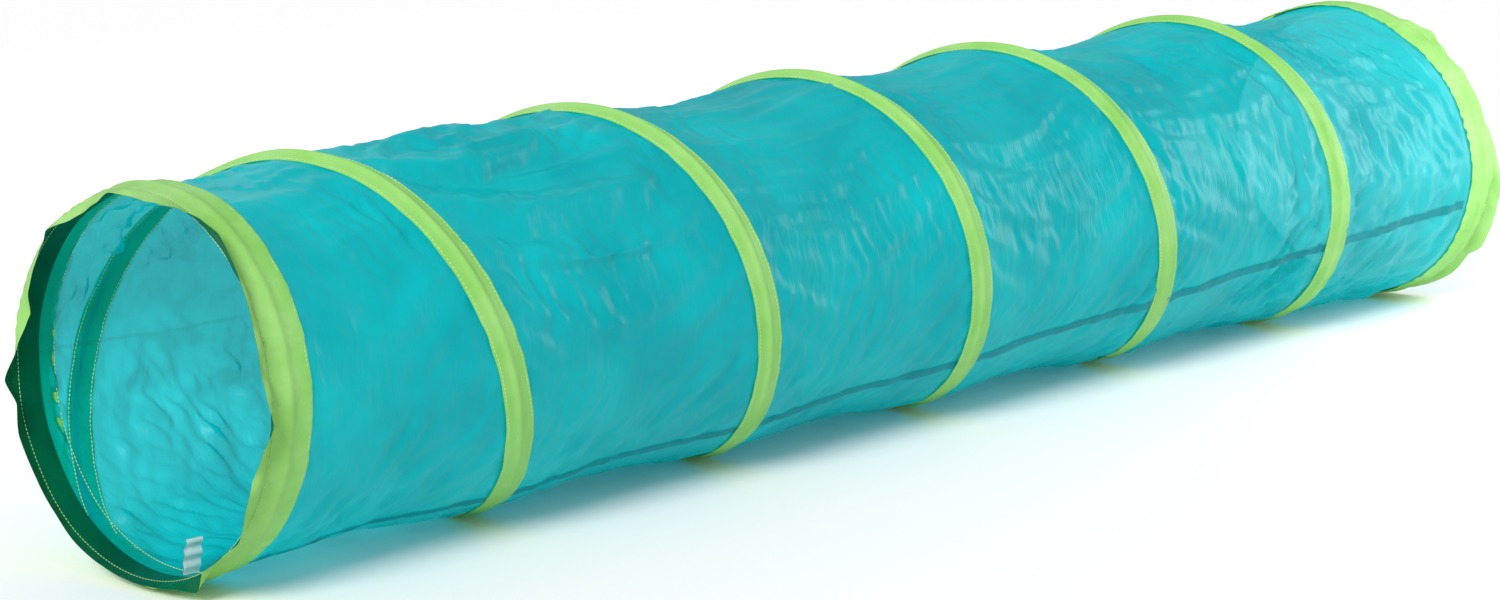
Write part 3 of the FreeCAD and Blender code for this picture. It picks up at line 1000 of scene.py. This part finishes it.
def label():
    """The care label: a blank strip folded double, standing up in soft waves."""
    low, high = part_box("care_label")
    height = high.z - low.z
    width = high.x - low.x
    along = np.linspace(0, 1, LABEL_STEPS_ACROSS)
    rise = np.linspace(0, 1, LABEL_STEPS)
    ups, overs = np.meshgrid(np.concatenate([rise, rise[::-1]]), along, indexing="ij")
    side = np.repeat([-1.0, 1.0], LABEL_STEPS)[:, None]
    gap = side * (0.7 * MM + 1.4 * MM * np.sin(ups * math.pi))
    wave = 1.3 * MM * np.sin(ups * 19 + side * 0.5) * (0.3 + ups)
    x = low.x + overs * width + 5 * MM * ups
    y = (low.y + high.y) / 2 - 8 * MM + gap + wave
    z = low.z - 3 * MM + ups * height
    points = np.stack(np.broadcast_arrays(x, y, z), axis=-1).reshape(-1, 3)
    flat = np.stack([overs * width, ups * height], axis=-1).reshape(-1, 2)
    faces = grid_faces(2 * LABEL_STEPS, LABEL_STEPS_ACROSS)
    piece = new_piece("blank_label", points, faces, TAPE, "front_end", flat)
    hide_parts("care_label")


label()

# ---------------------------------------------------------------- sewing thread

STITCH = 3.0 * MM
STITCH_STEP = 4.3 * MM
THREAD_RADIUS = 0.4 * MM
THREAD_SIDES = 5
# Each stitch's thickness along it: pairs of share of its length and share of the thread's radius.
STITCH_FORM = [(0.0, 0.35), (0.2, 1.0), (0.8, 1.0), (1.0, 0.35)]
# The two rows along the casing, as shares of its half width, and the row by a mouth strip's inner edge.
STRIP_ROWS = (-0.84, 0.84)
INNER_ROW = 2.5 * MM - FACET


def stitch_row(starts, ends):
    """Points and faces of short stitches from starts to ends, each a bar that dips at both ends."""
    ahead = ends - starts
    out = away_from_axis((starts + ends) / 2)
    side = unit(np.cross(ahead, out))
    rings = []
    for share, size in STITCH_FORM:
        centre = starts + ahead * share
        for corner in range(THREAD_SIDES):
            turn = corner / THREAD_SIDES * FULL
            rings.append(centre + THREAD_RADIUS * size * (math.cos(turn) * out + math.sin(turn) * side))
    points = np.stack(rings, axis=1)
    faces = grid_faces(len(STITCH_FORM), THREAD_SIDES, closed=True)
    every = (faces[None] + len(rings) * np.arange(len(starts))[:, None, None]).reshape(-1, 4)
    return points.reshape(-1, 3), every


def joined(rows):
    """Several sets of points and faces as one."""
    points, faces, count = [], [], 0
    for row_points, row_faces in rows:
        points.append(row_points)
        faces.append(row_faces + count)
        count += len(row_points)
    return np.concatenate(points), np.concatenate(faces)


def sew_strips():
    """Two rows of stitches along each length of the casing, on it and inside the tube."""
    for number, body in enumerate(BODIES):
        start, end = body_turns(number)
        turns = np.arange(start, end, STITCH_STEP / (FULL * COIL))
        after = turns + STITCH / (FULL * COIL)
        rows = []
        for edge in STRIP_ROWS:
            across = np.full_like(turns, edge)
            first, _ = casing_surface(turns, across)
            second, _ = casing_surface(after, across)
            out = away_from_axis(first)
            rows.append(stitch_row(first + 0.25 * MM * out, second + 0.25 * MM * out))
            inside = []
            for t in (turns, after):
                x, angle = on_coil(t)
                inside.append(on_tube(x + edge * CASING_HALF, angle, lift=-0.3 * MM))
            rows.append(stitch_row(*inside))
        points, faces = joined(rows)
        piece = new_piece(f"strip_stitching_{number + 1}", points, faces, THREAD, body)
        closes_with(piece)


def sew_mouths():
    """Rows of stitches round each mouth's strip, on the stitch line and by its inner edge, on both sides."""
    for name, outward in (("front", -1), ("rear", 1)):
        angle = np.arange(0, FULL, STITCH_STEP / COIL)
        after = angle + STITCH / COIL
        rows = []
        for offset, lift, over_coil in (
            (STITCH_LINE, 0.8, False), (STITCH_LINE, -1.2, False), (INNER_ROW, 1.7, True), (INNER_ROW, -1.2, False),
        ):
            ends = []
            for a in (angle, after):
                x = mouth_x(offset, a, outward)
                raised = coil_under(a, x, outward) * over_coil + lift * MM
                ends.append(settle(x, a, SKIN + np.minimum(raised, 3 * MM)))
            rows.append(stitch_row(*ends))
        points, faces = joined(rows)
        new_piece(f"{name}_mouth_stitching", points, faces, THREAD, f"{name}_end")


sew_strips()
sew_mouths()

# ---------------------------------------------------------------- camera, floor and light

CAMERA_PLACE = (FRONT - 2.358, -2.904, AXIS - COIL + 0.975)
CAMERA_HEADING = 42.32
CAMERA_DIP = 10.82
CAMERA_LENS = 96.76
FLOOR_REACH = 30.0


def make_camera():
    data = bpy.data.cameras.new("camera")
    data.lens = CAMERA_LENS
    data.sensor_width = 36
    data.clip_end = 50
    camera = bpy.data.objects.new("camera", data)
    camera.location = CAMERA_PLACE
    camera.rotation_euler = (math.radians(90 - CAMERA_DIP), 0, math.radians(CAMERA_HEADING - 90))
    bpy.context.scene.collection.objects.link(camera)
    bpy.context.scene.camera = camera


def area_light(name, place_at, aim, size, power):
    data = bpy.data.lights.new(name, "AREA")
    data.shape = "RECTANGLE"
    data.size, data.size_y = size
    data.energy = power
    lamp = bpy.data.objects.new(name, data)
    lamp.location = place_at
    direction = Vector(aim) - Vector(place_at)
    lamp.rotation_euler = direction.to_track_quat("-Z", "Y").to_euler()
    bpy.context.scene.collection.objects.link(lamp)


def make_floor():
    mesh = bpy.data.meshes.new("floor")
    corners = [(x * FLOOR_REACH, y * FLOOR_REACH, 0) for x, y in ((-1, -1), (1, -1), (1, 1), (-1, 1))]
    mesh.from_pydata(corners, [], [(0, 1, 2, 3)])
    floor = bpy.data.objects.new("floor", mesh)
    bpy.context.scene.collection.objects.link(floor)
    material, _, face = new_material("pale_floor")
    face.inputs["Base Color"].default_value = (0.97, 0.97, 0.97, 1)
    face.inputs["Roughness"].default_value = 0.9
    face.inputs["Specular IOR Level"].default_value = 0.1
    mesh.materials.append(material)


def sun(name, toward, strength, spread):
    """Light from one direction; toward points from the object to it."""
    data = bpy.data.lights.new(name, "SUN")
    data.energy = strength
    data.angle = math.radians(spread)
    lamp = bpy.data.objects.new(name, data)
    lamp.location = toward
    lamp.rotation_euler = Vector(toward).to_track_quat("Z", "Y").to_euler()
    bpy.context.scene.collection.objects.link(lamp)


def make_light():
    world = bpy.data.worlds.new("studio")
    world.use_nodes = True
    background = world.node_tree.nodes["Background"]
    background.inputs["Color"].default_value = (1, 1, 1, 1)
    background.inputs["Strength"].default_value = 0.56
    bpy.context.scene.world = world
    sun("key", toward=(-2.0, -0.75, 1.35), strength=2.75, spread=22)
    area_light("back", place_at=(0.2, 2.4, 1.7), aim=(0, 0, 0.2), size=(3.0, 1.2), power=9)
    beside, towards = (REAR + 0.5, -0.55, 0.46), (REAR - 0.15, -COIL, AXIS + 0.05)
    area_light("end", place_at=beside, aim=towards, size=(0.45, 0.8), power=6.5)
    bpy.context.scene.view_settings.view_transform = "Standard"


make_camera()
make_floor()
make_light()
